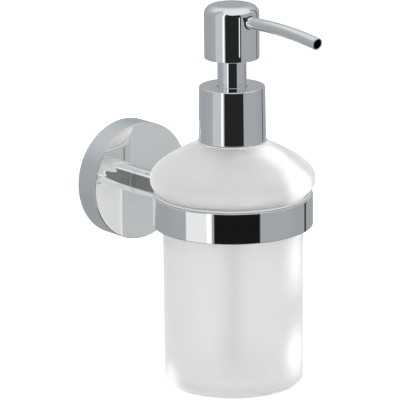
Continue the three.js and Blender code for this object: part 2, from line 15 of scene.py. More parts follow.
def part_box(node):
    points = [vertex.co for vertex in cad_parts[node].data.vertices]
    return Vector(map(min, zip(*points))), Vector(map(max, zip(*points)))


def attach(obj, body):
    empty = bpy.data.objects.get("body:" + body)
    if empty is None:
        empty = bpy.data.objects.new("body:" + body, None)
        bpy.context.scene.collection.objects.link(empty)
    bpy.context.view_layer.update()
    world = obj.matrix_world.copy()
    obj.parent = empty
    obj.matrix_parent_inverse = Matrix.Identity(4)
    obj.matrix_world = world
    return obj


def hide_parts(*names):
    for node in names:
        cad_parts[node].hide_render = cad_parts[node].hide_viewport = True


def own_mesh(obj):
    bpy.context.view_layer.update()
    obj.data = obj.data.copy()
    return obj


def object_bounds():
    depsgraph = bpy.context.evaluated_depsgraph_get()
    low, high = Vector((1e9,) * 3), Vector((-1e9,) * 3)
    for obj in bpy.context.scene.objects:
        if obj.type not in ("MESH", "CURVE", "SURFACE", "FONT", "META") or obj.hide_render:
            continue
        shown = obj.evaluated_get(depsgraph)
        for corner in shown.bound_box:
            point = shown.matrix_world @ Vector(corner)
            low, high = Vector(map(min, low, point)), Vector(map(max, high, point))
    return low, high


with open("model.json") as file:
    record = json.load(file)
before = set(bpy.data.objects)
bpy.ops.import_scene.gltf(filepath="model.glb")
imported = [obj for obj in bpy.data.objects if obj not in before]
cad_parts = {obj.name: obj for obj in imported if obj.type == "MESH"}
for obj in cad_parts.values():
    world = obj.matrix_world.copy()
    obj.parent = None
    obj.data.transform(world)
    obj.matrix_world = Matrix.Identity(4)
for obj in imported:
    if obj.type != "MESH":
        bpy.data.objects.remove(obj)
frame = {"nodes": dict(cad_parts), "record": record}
CAD_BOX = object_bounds()
BODIES = frame["record"]["behaviour"]["bodies"]
SLOTS = {s["node"]: s["material_slot"] for s in frame["record"]["subparts"]}

MM = 0.001
SMOOTH = 144  # segments of the large mirror-bright pieces
FAIR = 64  # segments of the small ones
EDGE = 0.25 * MM  # usual rounding of a machined edge
SUPPORT = 0.04 * MM  # a second point this close to each rounding keeps the flats flat
CREASE = math.radians(35)  # a corner sharper than this stays a crease


# ------------------------------------------------------------------ places, from the frame

def upright(node):
    """Outer radius, lowest z and highest z of a round CAD node on the bottle's axis."""
    low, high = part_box(node)
    return (high.x - low.x) / 2, low.z, high.z


def level(node):
    """Outer radius, y nearest the wall and y furthest off, of a round node on the arm's axis."""
    low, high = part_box(node)
    return (high.x - low.x) / 2, high.y, low.y


ring_low, ring_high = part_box("holder_ring")
AXIS = (ring_low + ring_high) / 2  # middle of the ring, on the bottle's axis
RING_RADIUS, RING_BOTTOM, RING_TOP = upright("holder_ring")


# ------------------------------------------------------------------ camera

AZIMUTH = math.radians(-40.815)
ELEVATION = math.radians(15.412)
ROLL = math.radians(-0.391)
DISTANCE = 1.5643
AIM = (-0.01496, 0.00376)  # the aim lies this far right of and above the ring's middle
LENS = 309.2

TOWARDS = Vector((math.sin(AZIMUTH), -math.cos(AZIMUTH), 0))  # level, from object to camera
RIGHT = Vector((math.cos(AZIMUTH), math.sin(AZIMUTH), 0))


def level_way(degrees):
    """Level direction this many degrees to the right of the camera, seen from the object."""
    turn = math.radians(degrees)
    return TOWARDS * math.cos(turn) + RIGHT * math.sin(turn)


def make_camera():
    back = TOWARDS * math.cos(ELEVATION) + Vector((0, 0, math.sin(ELEVATION)))
    place = AXIS + back * DISTANCE
    up = back.cross(RIGHT)
    aim = AXIS + RIGHT * AIM[0] + up * AIM[1]
    back = (place - aim).normalized()
    right = RIGHT * math.cos(ROLL) + up * math.sin(ROLL)
    up = back.cross(right).normalized()
    right = up.cross(back)
    data = bpy.data.cameras.new("photo_camera")
    data.sensor_width = 36
    data.lens = LENS
    data.clip_end = 20
    camera = bpy.data.objects.new("photo_camera", data)
    camera.matrix_world = Matrix(
        (
            (right.x, up.x, back.x, place.x),
            (right.y, up.y, back.y, place.y),
            (right.z, up.z, back.z, place.z),
            (0, 0, 0, 1),
        )
    )
    bpy.context.scene.collection.objects.link(camera)
    bpy.context.scene.camera = camera


# ------------------------------------------------------------------ node helpers

class Nodes:
    """Short calls for building a node tree."""

    def __init__(self, tree):
        self.tree = tree
        tree.nodes.clear()

    def add(self, kind, inputs=(), **settings):
        node = self.tree.nodes.new(kind)
        for name, value in settings.items():
            setattr(node, name, value)
        for key, value in dict(inputs).items():
            self.put(node.inputs[key], value)
        return node

    def put(self, socket, value):
        if isinstance(value, bpy.types.NodeSocket):
            self.tree.links.new(value, socket)
        else:
            socket.default_value = value

    def math(self, operation, a, b=0.0):
        return self.add("ShaderNodeMath", {0: a, 1: b}, operation=operation).outputs[0]

    def dot(self, a, b):
        node = self.add("ShaderNodeVectorMath", {0: a, 1: b}, operation="DOT_PRODUCT")
        return node.outputs["Value"]

    def spread(self, value, low, high, to_low, to_high, smooth=False):
        inputs = {"Value": value, 1: low, 2: high, 3: to_low, 4: to_high}
        kind = "SMOOTHSTEP" if smooth else "LINEAR"
        return self.add("ShaderNodeMapRange", inputs, interpolation_type=kind).outputs[0]

    def mix(self, share, a, b):
        node = self.add("ShaderNodeMix", data_type="FLOAT")
        for name, value in (("Factor", share), ("A", a), ("B", b)):
            socket = next(s for s in node.inputs if s.name == name and s.type == "VALUE")
            self.put(socket, value)
        return next(s for s in node.outputs if s.type == "VALUE")


# ------------------------------------------------------------------ world: a plain studio

# The studio that mirrors see: grey walls with a few plain panels in front of them. Heights are
# degrees above level, and a pair of heights is where a change starts and ends.
WHITE = 1.0  # light on everything that isn't a mirror
WALL = 0.42
PANELS = [
    # (from, to) in degrees to the right of the camera, brightness low down and high up
    (-72, -37, 0.9, 0.6),  # soft box on the left
    (-39, -30, 1.2, 1.2),  # lamp at its edge
    (-28, 40, 0.01, 0.02),  # black flag around the camera
    (124, 131, 0.03, 0.03),  # dark gap between the walls
]
PANEL_EDGE = 1.5  # degrees over which a panel's upright edges fade
PANEL_STEP = (-14.8, -13.8)  # low down gives way to high up
BEHIND = (80, 110)  # degrees round, either way, over which the wall behind the object takes over
BEHIND_LEVELS = (  # that wall's brightness: (heights, brightness below, brightness above)
    ((-30, 5), 0.88, 1),
    ((15, 40), 1, 1.4),
    ((41.6, 42.6), 1, 1.3),
)
FLAG_FOOT = (-34, -31)  # below this the studio's floor shows under the panels
FLOOR_LEVELS = (0.5, 0.04)  # brightness of that floor, far off and near
NEAR_FLOOR = (-42.6, -41.6)
SOFT_BOX = (50, 65, 43.5, 0.86)  # overhead: degrees round, height, radius, brightness
SOFT_BOX_EDGE = 0.03  # softness of its edge, as a cosine
SOFT_BOX_FOOT = (34, 37)
COOL = ((0.5, 0.8), 0.955, 1.045)  # greys below these levels get this much red and blue


def make_world():
    """White to the camera and to dull surfaces; a studio with soft boxes and flags in mirrors."""
    world = bpy.data.worlds.new("studio")
    world.use_nodes = True
    n = Nodes(world.node_tree)
    direction = n.add("ShaderNodeTexCoord").outputs["Generated"]
    height = n.math("ARCSINE", n.dot(direction, (0, 0, 1)))
    height = n.math("DEGREES", height)
    angle = n.math("ARCTAN2", n.dot(direction, RIGHT), n.dot(direction, TOWARDS))
    angle = n.math("DEGREES", angle)

    upper = n.spread(height, *PANEL_STEP, 0, 1)
    level = WALL
    for start, end, low, high in PANELS:
        inside = n.math(
            "MULTIPLY",
            n.spread(angle, start, start + PANEL_EDGE, 0, 1),
            n.spread(angle, end - PANEL_EDGE, end, 1, 0),
        )
        level = n.mix(inside, level, n.mix(upper, low, high))
    behind = n.spread(n.math("ABSOLUTE", angle), *BEHIND, 0, 1, smooth=True)
    rise = 1.0
    for heights, below, above in BEHIND_LEVELS:
        rise = n.math("MULTIPLY", rise, n.spread(height, *heights, below, above))
    level = n.math("MULTIPLY", level, n.mix(behind, 1.0, rise))
    floor = n.mix(n.spread(height, *NEAR_FLOOR, 1, 0), *FLOOR_LEVELS)
    in_front = n.math("SUBTRACT", 1.0, behind)
    low_down = n.math("MULTIPLY", n.spread(height, *FLAG_FOOT, 1, 0), in_front)
    level = n.mix(low_down, level, floor)
    level = n.mix(n.spread(height, *NEAR_FLOOR, 1, 0), level, FLOOR_LEVELS[1])
    around, up, radius, glow = SOFT_BOX
    centre = level_way(around) * math.cos(math.radians(up))
    centre.z = math.sin(math.radians(up))
    edge = math.cos(math.radians(radius))
    rim = (edge - SOFT_BOX_EDGE, edge + SOFT_BOX_EDGE)
    box = n.spread(n.dot(direction, centre), *rim, 0, 1, smooth=True)
    box = n.math("MULTIPLY", box, n.spread(height, *SOFT_BOX_FOOT, 0, 1))
    level = n.mix(box, level, glow)
    greys, red_share, blue_share = COOL
    cool = n.spread(level, *greys, 1, 0)
    red = n.math("MULTIPLY", level, n.mix(cool, 1.0, red_share))
    blue = n.math("MULTIPLY", level, n.mix(cool, 1.0, blue_share))
    studio = n.add("ShaderNodeCombineColor", {0: red, 1: level, 2: blue}).outputs[0]

    path = n.add("ShaderNodeLightPath").outputs
    through_glass = n.math("GREATER_THAN", path["Transmission Depth"], 0.5)
    in_mirror = n.math("SUBTRACT", path["Is Glossy Ray"], through_glass)
    in_mirror = n.math("MAXIMUM", in_mirror, 0.0)
    plain = n.add("ShaderNodeBackground", {"Color": (1, 1, 1, 1), "Strength": WHITE})
    shaped = n.add("ShaderNodeBackground", {"Color": studio, "Strength": 1.0})
    both = n.add("ShaderNodeMixShader", {0: in_mirror, 1: plain.outputs[0], 2: shaped.outputs[0]})
    output = n.add("ShaderNodeOutputWorld")
    n.put(output.inputs["Surface"], both.outputs[0])
    bpy.context.scene.world = world


GLOWS = [
    # Where each shines: (degrees right of the camera, millimetres from the bottle's axis, height
    # in millimetres), then the lamp's width and tallness in millimetres, and its power.
    (64, 32, -19, 3, 30, 0.0012),
    (63, 32, -65, 3, 20, 0.0012),
    (-65, 31, -79, 3, 3, 0.0007),
    (57, 36, 17, 4, 4, 0.0014),
    (58, 20, 28, 2, 2, 0.0009),
]
GLOW_SPREAD = math.radians(13)
GLOW_DISTANCE = 0.1
GLOW_SLOPE = 0.35  # rise of each glow's light for one unit outwards


def make_glows(glass):
    """Small soft lights from either side that only the frosted glass takes."""
    takers = bpy.data.collections.new("frosted")
    takers.objects.link(glass)
    for i, (around, radius, height, width, tallness, power) in enumerate(GLOWS):
        side = level_way(around)
        spot = AXIS + side * radius * MM
        spot.z = height * MM
        source = spot + (side + Vector((0, 0, GLOW_SLOPE))).normalized() * GLOW_DISTANCE
        lamp = bpy.data.lights.new(f"glow_{i}", "AREA")
        lamp.shape = "ELLIPSE"
        lamp.size = width * MM
        lamp.size_y = tallness * MM
        lamp.spread = GLOW_SPREAD
        lamp.energy = power
        light = bpy.data.objects.new(lamp.name, lamp)
        light.location = source
        light.rotation_euler = (source - spot).to_track_quat("Z", "Y").to_euler()
        light.light_linking.receiver_collection = takers
        bpy.context.scene.collection.objects.link(light)


STRIP_PLACE = (31.8, 0.8, -0.004)  # degrees right of the camera, distance, height of its middle
STRIP_SIZE = (0.056, 0.2)
STRIP_POWER = 0.035


def make_strip():
    """Thin upright strip light, to the right of the camera, that draws one line on the head."""
    around, away, height = STRIP_PLACE
    side = level_way(around)
    lamp = bpy.data.lights.new("strip", "AREA")
    lamp.shape = "RECTANGLE"
    lamp.size, lamp.size_y = STRIP_SIZE
    lamp.energy = STRIP_POWER
    light = bpy.data.objects.new("strip", lamp)
    light.location = AXIS + side * away
    light.location.z = height
    light.rotation_euler = side.to_track_quat("Z", "Y").to_euler()
    light.visible_camera = False
    light.visible_diffuse = False
    bpy.context.scene.collection.objects.link(light)


def make_floor():
    """Plain pale floor, well below the object."""
    reach = 6.0
    drop = 0.30
    mesh = bpy.data.meshes.new("floor")
    corners = [(-reach, -reach), (reach, -reach), (reach, reach), (-reach, reach)]
    height = CAD_BOX[0][2] - drop
    mesh.from_pydata([(x, y, height) for x, y in corners], [], [(0, 1, 2, 3)])
    floor = bpy.data.objects.new("floor", mesh)
    bpy.context.scene.collection.objects.link(floor)
    material = bpy.data.materials.new("floor_white")
    material.use_nodes = True
    n = Nodes(material.node_tree)
    pale = (0.97, 0.97, 0.97, 1)
    dull = n.add("ShaderNodeBsdfPrincipled", {"Base Color": pale, "Roughness": 0.9})
    glow = n.add("ShaderNodeEmission", {"Color": (1, 1, 1, 1), "Strength": 0.3})
    both = n.add("ShaderNodeAddShader", {0: dull.outputs[0], 1: glow.outputs[0]})
    output = n.add("ShaderNodeOutputMaterial")
    n.put(output.inputs["Surface"], both.outputs[0])
    mesh.materials.append(material)
    floor.visible_glossy = False


# ------------------------------------------------------------------ materials

PAINTED_RING_SHADE = (0.009, 0.017)  # heights over which the painted shade low on the bulge, next to the ring, fades out: painted darker below, a little lighter above
PAINTED_BASE_SHADE = (-0.0762, -0.0755)  # heights where the solid base meets the bottle's side; below them the base is painted darker, painted shade for the dimmer light through the thick glass


def principled(name, inputs):
    """New material with one principled shader, its node tree and the shader."""
    material = bpy.data.materials.new(name)
    material.use_nodes = True
    n = Nodes(material.node_tree)
    shader = n.add("ShaderNodeBsdfPrincipled", inputs)
    output = n.add("ShaderNodeOutputMaterial")
    n.put(output.inputs["Surface"], shader.outputs[0])
    return material, n, shader


def place_noise(n, scale, detail=3.0, stretch=(1, 1, 1)):
    """Noise in the object's own space."""
    place = n.add("ShaderNodeTexCoord").outputs["Object"]
    if stretch != (1, 1, 1):
        place = n.add("ShaderNodeMapping", {"Vector": place, "Scale": stretch}).outputs[0]
    noise = n.add("ShaderNodeTexNoise", {"Vector": place, "Scale": scale, "Detail": detail})
    return noise.outputs[0]


def bump(n, shader, height, distance, strength=1.0):
    """Lets a height pattern, this deep in metres, disturb a shader's surface."""
    node = n.add("ShaderNodeBump", {"Strength": strength, "Distance": distance, "Height": height})
    n.put(shader.inputs["Normal"], node.outputs[0])


def make_chrome():
    """Polished chrome, a little duller in smudges."""
    material, n, shader = principled(
        "polished_chrome", {"Base Color": (0.875, 0.885, 0.89, 1), "Metallic": 1.0}
    )
    smudges = place_noise(n, 55, 4)
    n.put(shader.inputs["Roughness"], n.spread(smudges, 0.35, 0.75, 0.004, 0.02, smooth=True))
    return material


def make_chrome_face():
    """Chrome of the rosette's face: slightly wavy, under a fine haze from polishing."""
    material, n, shader = principled(
        "chrome_face",
        {"Base Color": (0.985, 0.995, 0.985, 1), "Metallic": 0.77, "Roughness": 0.012},
    )
    bump(n, shader, place_noise(n, 45, 1), 0.02 * MM, 1.0)
    return material


def make_frosted():
    """Etched glass: a fine even grain, faint streaks, and painted shade low on the bulge next to
    the ring and in the solid base.
    """
    material, n, shader = principled(
        "frosted_glass",
        {
            "Transmission Weight": 0.7,
            "IOR": 1.28,
            "Specular IOR Level": 0.25,
            "Sheen Weight": 1.0,
            "Sheen Roughness": 0.35,
        },
    )
    streaks = place_noise(n, 38, 3, stretch=(1, 1, 0.18))
    shade = n.spread(streaks, 0.35, 0.65, 0.947, 0.967)
    place = n.add("ShaderNodeTexCoord").outputs["Object"]
    height = n.add("ShaderNodeSeparateXYZ", {0: place}).outputs["Z"]
    # painted shade: the glass painted darker low on the bulge, next to the ring, and a little
    # lighter above it
    shade = n.math("MULTIPLY", shade, n.spread(height, *PAINTED_RING_SHADE, 0.94, 1.02, smooth=True))
    # painted shade: the solid base painted darker than the side above it
    shade = n.math("MULTIPLY", shade, n.spread(height, *PAINTED_BASE_SHADE, 0.955, 1.0))
    cool = n.math("MULTIPLY", shade, 0.996)
    colour = n.add("ShaderNodeCombineColor", {0: cool, 1: shade, 2: cool}).outputs[0]
    n.put(shader.inputs["Base Color"], colour)
    grain = place_noise(n, 2600, 2)
    n.put(shader.inputs["Roughness"], n.spread(grain, 0.3, 0.7, 0.45, 0.53))
    bump(n, shader, grain, 0.03 * MM, 0.5)
    return material


def make_plain(name, colour, roughness, scale=900, depth=0.02 * MM, **more):
    """Moulded plastic, rubber or dull metal with a fine grain."""
    inputs = {"Base Color": (*colour, 1), **more}
    material, n, shader = principled(name, inputs)
    grain = place_noise(n, scale, 2)
    n.put(shader.inputs["Roughness"], n.spread(grain, 0.3, 0.7, roughness * 0.85, roughness * 1.15))
    bump(n, shader, grain, depth, 0.4)
    return material


MATERIALS = {
    "chrome": make_chrome(),
    "frosted_glass": make_frosted(),
    "clear_plastic": make_plain(
        "clear_plastic", (0.93, 0.94, 0.95), 0.4, **{"Transmission Weight": 0.25, "IOR": 1.4}
    ),
    "tube_plastic": make_plain(
        "tube_plastic", (0.91, 0.93, 0.93), 0.25, depth=0.003 * MM,
        **{"Transmission Weight": 0.65, "IOR": 1.4}
    ),
    "white_plastic": make_plain("white_plastic", (0.8, 0.8, 0.785), 0.35),
    "black_plastic": make_plain("black_plastic", (0.012, 0.012, 0.013), 0.35),
    "grey_rubber": make_plain("grey_rubber", (0.22, 0.22, 0.23), 0.8),
    "zinc": make_plain("zinc", (0.72, 0.73, 0.75), 0.42, 1400, Metallic=1.0),
    "steel": make_plain("steel", (0.7, 0.71, 0.73), 0.28, 1600, Metallic=1.0),
}


# ------------------------------------------------------------------ mesh helpers

def soften(outline, rounding=EDGE, steps=4, closed=True):
    """Outline with its corners rounded; a corner may give its own rounding as a third number."""
    points = []
    count = len(outline)
    for i, (radius, height, *own) in enumerate(outline):
        corner = Vector((radius, height))
        size = own[0] if own else rounding
        before = Vector(outline[i - 1][:2]) - corner
        after = Vector(outline[(i + 1) % count][:2]) - corner
        angle = before.angle(after) if before.length and after.length else math.pi
        if radius == 0 or size == 0 or angle > math.radians(178):
            points.append(corner)
            continue
        before.normalize()
        after.normalize()
        reach = size / math.tan(angle / 2)
        centre = corner + (before + after).normalized() * size / math.sin(angle / 2)
        arm = corner + before * reach - centre
        turn = arm.angle_signed(corner + after * reach - centre)
        points.append(corner + before * (reach + SUPPORT))
        for k in range(steps + 1):
            swing = Matrix.Rotation(-turn * k / steps, 2)
            points.append(centre + swing @ arm)
        points.append(corner + after * (reach + SUPPORT))
    return [(p.x, p.y) for p in points]


def curve(corners, steps=24):
    """Points of a cubic Bezier stretch of an outline, each kept as it is."""
    a, b, c, d = (Vector(p) for p in corners)
    points = []
    for k in range(steps + 1):
        t = k / steps
        s = 1 - t
        p = a * s**3 + b * 3 * s * s * t + c * 3 * s * t * t + d * t**3
        points.append((p.x, p.y, 0))
    return points


def oval(centre, sizes, start, end, steps):
    """Points of a round or elliptic stretch of an outline, between two angles in degrees."""
    points = []
    for k in range(steps + 1):
        angle = math.radians(start + (end - start) * k / steps)
        x = centre[0] + sizes[0] * math.cos(angle)
        y = centre[1] + sizes[1] * math.sin(angle)
        points.append((x, y, 0))
    return points


def turned_mesh(outline, segments, point_at):
    """Mesh turned from an outline that is counterclockwise and starts and ends on the axis or
    closes on itself. point_at gives the place of (radius, height, angle)."""
    mesh = bmesh.new()
    loops = []
    for radius, height in outline:
        if radius == 0:
            loops.append([mesh.verts.new(point_at(0, height, 0))] * segments)
            continue
        angles = [2 * math.pi * k / segments for k in range(segments)]
        loops.append([mesh.verts.new(point_at(radius, height, angle)) for angle in angles])
    pairs = list(zip(loops, loops[1:]))
    if outline[0][0] != 0:
        pairs.append((loops[-1], loops[0]))
    for low, high in pairs:
        for k in range(segments):
            j = (k + 1) % segments
            corners = [low[k], low[j], high[j], high[k]]
            corners = [v for i, v in enumerate(corners) if v not in corners[:i]]
            if len(corners) > 2:
                mesh.faces.new(corners)
    return mesh


def finish_mesh(mesh, node, material=None, smooth=True):
    """Makes a piece of a bmesh; it rides with the CAD node that it stands for."""
    data = bpy.data.meshes.new(f"{node}_fine")
    mesh.to_mesh(data)
    mesh.free()
    data.polygons.foreach_set("use_smooth", [smooth] * len(data.polygons))
    data.set_sharp_from_angle(angle=CREASE)
    data.materials.append(material or MATERIALS[SLOTS[node]])
    piece = bpy.data.objects.new(f"{node}_fine", data)
    bpy.context.scene.collection.objects.link(piece)
    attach(piece, next(b for b, nodes in BODIES.items() if node in nodes))
    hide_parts(node)
    return piece


def upright_point(radius, height, angle):
    """Place at a radius, height and angle about the bottle's axis."""
    return (AXIS.x + radius * math.sin(angle), AXIS.y - radius * math.cos(angle), height)


def standing(node, outline, segments=FAIR, thread=None, **kind):
    """Piece turned about the bottle's axis from an outline of (radius, z)."""
    point_at = threaded(upright_point, thread) if thread else upright_point
    return finish_mesh(turned_mesh(outline, segments, point_at), node, **kind)


def lying(node, outline, segments=FAIR, height=0.0, thread=None, **kind):
    """Piece turned about a level axis along Y from an outline of (radius, y)."""
    def point_at(radius, along, angle):
        return (radius * math.sin(angle), along, height + radius * math.cos(angle))
    if thread:
        point_at = threaded(point_at, thread)
    return finish_mesh(turned_mesh(outline, segments, point_at), node, **kind)


GROOVE_STEEP, GROOVE_FLAT = 2.2, 0.5  # slope of a thread's flanks and width of its crest
THREAD_STEPS = 8  # outline points for each turn of a thread


def threaded(point_at, thread):
    """Cuts a helical groove into the places of a turned piece that lie on its thread."""
    start, end, on_radius, pitch, depth = thread

    def place(radius, along, angle):
        if start <= along <= end and abs(radius - on_radius) < SUPPORT:
            phase = (along / pitch + angle / (2 * math.pi)) % 1
            groove = min(1.0, max(0.0, GROOVE_STEEP * abs(phase * 2 - 1) - GROOVE_FLAT))
            fade = min(1.0, (along - start) / pitch, (end - along) / pitch)
            radius += depth * groove * fade
        return point_at(radius, along, angle)

    return place


def thread_rows(radius, start, end, pitch):
    """Outline points along a thread, close enough together to show it."""
    count = max(2, round(abs(end - start) / pitch * THREAD_STEPS))
    return [(radius, start + (end - start) * k / count, 0) for k in range(count + 1)]


# ------------------------------------------------------------------ wall side

def make_rosette():
    """Cup over the bracket, with a hole for the grub screw in its skirt."""
    radius, wall_y, front = level("rosette_cover")
    skirt = 2.2 * MM
    thick = 2.5 * MM
    screw_hole = 2.8 * MM
    outline = [
        (screw_hole, front),
        (radius, front, 0.45 * MM),
        (radius, wall_y),
        (radius - skirt, wall_y),
        (radius - skirt, front + thick, 1 * MM),
        (screw_hole, front + thick),
    ]
    rosette = lying("rosette_cover", soften(outline), SMOOTH)
    rosette.data.materials.append(make_chrome_face())
    for face in rosette.data.polygons:
        if face.center.y < front + SUPPORT:
            face.material_index = 1
    low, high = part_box("grub_screw")
    mesh = bmesh.new()
    gap = 0.15 * MM
    hole = (high.x - low.x) / 2 + gap
    bmesh.ops.create_cone(
        mesh, cap_ends=True, segments=48, radius1=hole, radius2=hole, depth=10 * MM
    )
    middle = (low + high) / 2
    bmesh.ops.translate(mesh, vec=(middle.x, middle.y, -radius), verts=mesh.verts)
    pierce(rosette, mesh)
    return rosette


def make_arm():
    """Round bar from the rosette to the ring, with a blind hole for its screw."""
    radius, start, _ = level("arm")
    bore = 2.55 * MM
    depth = 12 * MM
    tip = AXIS.y + RING_RADIUS
    outline = [
        (0, tip),
        (radius, tip, 0),
        (radius, start, 0.15 * MM),
        (bore, start),
        (bore, start - depth, 0),
        (0, start - depth),
    ]
    arm = lying("arm", soften(outline), SMOOTH)
    for vertex in arm.data.vertices:
        if vertex.co.y < tip + MM:  # this end is hollowed to sit on the round of the ring
            vertex.co.y = AXIS.y + math.sqrt(RING_RADIUS**2 - vertex.co.x**2)
    return arm


def make_ring():
    """Flat band round the bottle."""
    wall = 2.5 * MM
    inner = RING_RADIUS - wall
    outline = [
        (inner, RING_BOTTOM),
        (RING_RADIUS, RING_BOTTOM, 0.35 * MM),
        (RING_RADIUS, RING_TOP, 0.35 * MM),
        (inner, RING_TOP),
    ]
    return standing("holder_ring", soften(outline), SMOOTH)


def make_liner():
    """Clear sleeve in the ring; its lip lies on the ring and carries the bottle."""
    lip, bottom, top = upright("ring_liner")
    inner = 32.35 * MM
    outer = 33.75 * MM
    under = RING_TOP + 0.1 * MM
    outline = [
        (inner, bottom),
        (outer, bottom),
        (outer, under, 0.1 * MM),
        (lip, under, 0.15 * MM),
        (lip, top, 0.3 * MM),
        (34.5 * MM, top, 0.15 * MM),
        (33.3 * MM, RING_TOP, 0.4 * MM),
        (inner, 3.2 * MM, 0.4 * MM),
    ]
    return standing("ring_liner", soften(outline), SMOOTH)


# ------------------------------------------------------------------ bottle

def make_bottle():
    """Glass wall from the base round the corner, up the bulge and into the neck."""
    bulge, bottom, top = upright("glass_bottle")
    radius = 32 * MM
    wall = 2.2 * MM
    base = 6 * MM
    inner = radius - wall
    bulge_z = 14.4 * MM
    land = 31.3 * MM
    shoulder = 16.2 * MM
    neck = 11.3 * MM
    bore = 9.2 * MM
    outer_corner = 3.6 * MM
    inner_corner = 5 * MM
    push_up = 1 * MM
    waist = (32.9 * MM, 7 * MM)
    outline = [
        (0, bottom + push_up),
        (radius - outer_corner - 7 * MM, bottom + push_up, 4 * MM),
        (radius - outer_corner - 5 * MM, bottom, 1.5 * MM),
        *oval(
            (radius - outer_corner, bottom + outer_corner),
            (outer_corner, outer_corner), -90, 0, 14,
        ),
        (radius, 0, 0),
        *curve([(radius, 0), (radius, 3 * MM), (32.3 * MM, 6 * MM), waist], 8)[1:-1],
        *curve([waist, (bulge - 2.5 * MM, 9 * MM), (bulge, bulge_z - 3.8 * MM), (bulge, bulge_z)]),
        *curve(
            [
                (bulge, bulge_z),
                (bulge, bulge_z + 6.2 * MM),
                (bulge - 9.2 * MM, bulge_z + 10.2 * MM),
                (shoulder, land),
            ],
            36,
        )[1:-1],
        (shoulder, land, 0.5 * MM),
        (neck, land, 0.4 * MM),
        (neck, top, 0.5 * MM),
        (bore, top, 0.5 * MM),
        *curve(
            [
                (bore, land - 1.6 * MM),
                (bulge - 12.5 * MM, bulge_z + 9 * MM),
                (bulge - wall, bulge_z + 6 * MM),
                (bulge - wall, bulge_z),
            ],
            30,
        ),
        *curve(
            [
                (bulge - wall, bulge_z),
                (bulge - wall, bulge_z - 3.8 * MM),
                (inner + 2.2 * MM, 9 * MM),
                (inner + 0.6 * MM, 6 * MM),
            ],
            20,
        )[1:],
        *curve(
            [(inner + 0.6 * MM, 6 * MM), (inner, 3.5 * MM), (inner, 1 * MM), (inner, -1 * MM)],
            8,
        )[1:],
        *oval(
            (inner - inner_corner, bottom + base + inner_corner),
            (inner_corner, inner_corner), 0, -90, 14,
        ),
        (0, bottom + base),
    ]
    return standing("glass_bottle", soften(outline), SMOOTH)


def make_insert():
    """Threaded sleeve on the glass neck, with a flange on the shoulder."""
    flange, bottom, top = upright("neck_insert")
    inner = 11.5 * MM
    outer = 12.6 * MM
    thick = 0.7 * MM
    pitch = 3 * MM
    start, end = bottom + thick, top - MM
    outline = [
        (inner, bottom),
        (flange, bottom, 0.2 * MM),
        (flange, bottom + thick, 0.2 * MM),
        *thread_rows(outer, start, end, pitch),
        (outer, top),
        (inner, top),
    ]
    thread = (start, end, outer, pitch, -0.6 * MM)
    return standing("neck_insert", soften(outline), SMOOTH, thread)


# ------------------------------------------------------------------ collar and pump head

SPOUT_START = (2.4 * MM, 87.75 * MM)  # (distance from the bottle's axis, height)
SPOUT_RISE = math.tan(math.radians(2.1))  # slope of its straight stretch
SPOUT_STRAIGHT = (6 * MM, 12 * MM)  # from the start, from the axis: points of that stretch
SPOUT_BEND = 18 * MM  # where the bend starts
SPOUT_MIDDLE = 37 * MM  # where the bend's two ends, drawn on straight, meet
SPOUT_TIP = (57.3 * MM, 85.8 * MM)
BUSHING_RADIUS = 3.1 * MM


def make_collar():
    """Slightly tapered cup over the closure nut."""
    foot, bottom, top = upright("collar_cover")
    upper = 14.95 * MM
    inner = 14.3 * MM
    plate = 1.2 * MM
    hole = 6.85 * MM
    outline = [
        (inner, bottom, 0.2 * MM),
        (foot, bottom, 0.3 * MM),
        (upper, top, 0.6 * MM),
        (hole, top, 0.3 * MM),
        (hole, top - plate),
        (inner, top - plate),
    ]
    return standing("collar_cover", soften(outline, steps=6), SMOOTH)


def make_shell():
    """Pump head: a cup with a rounded crown, pierced for the spout."""
    radius, bottom, top = upright("head_shell")
    wall = 1.1 * MM
    crown = (5 * MM, 4.2 * MM)
    centre = (radius - crown[0], top - crown[1])
    outline = [
        (0, top - wall),
        *oval(centre, (crown[0] - wall, crown[1] - wall), 90, 0, 10),
        (radius - wall, bottom, 0.2 * MM),
        (radius, bottom, 0.3 * MM),
        *oval(centre, crown, 0, 90, 24),
        (0, top),
    ]
    shell = standing("head_shell", soften(outline), SMOOTH)
    gap = 0.05 * MM
    past = 2 * MM
    bore = spout_rod(BUSHING_RADIUS + gap, radius - wall - past, radius + past)
    pierce(shell, bore)
    return shell


def spout_rod(radius, start, end, sides=FAIR):
    """Bmesh of a rod along the straight stretch of the spout."""
    low, high = spout_point(start), spout_point(end)
    along = high - low
    mesh = bmesh.new()
    bmesh.ops.create_cone(
        mesh, cap_ends=True, segments=sides, radius1=radius, radius2=radius, depth=along.length
    )
    turn = along.to_track_quat("Z", "Y").to_matrix().to_4x4()
    bmesh.ops.transform(mesh, matrix=Matrix.Translation((low + high) / 2) @ turn, verts=mesh.verts)
    return mesh


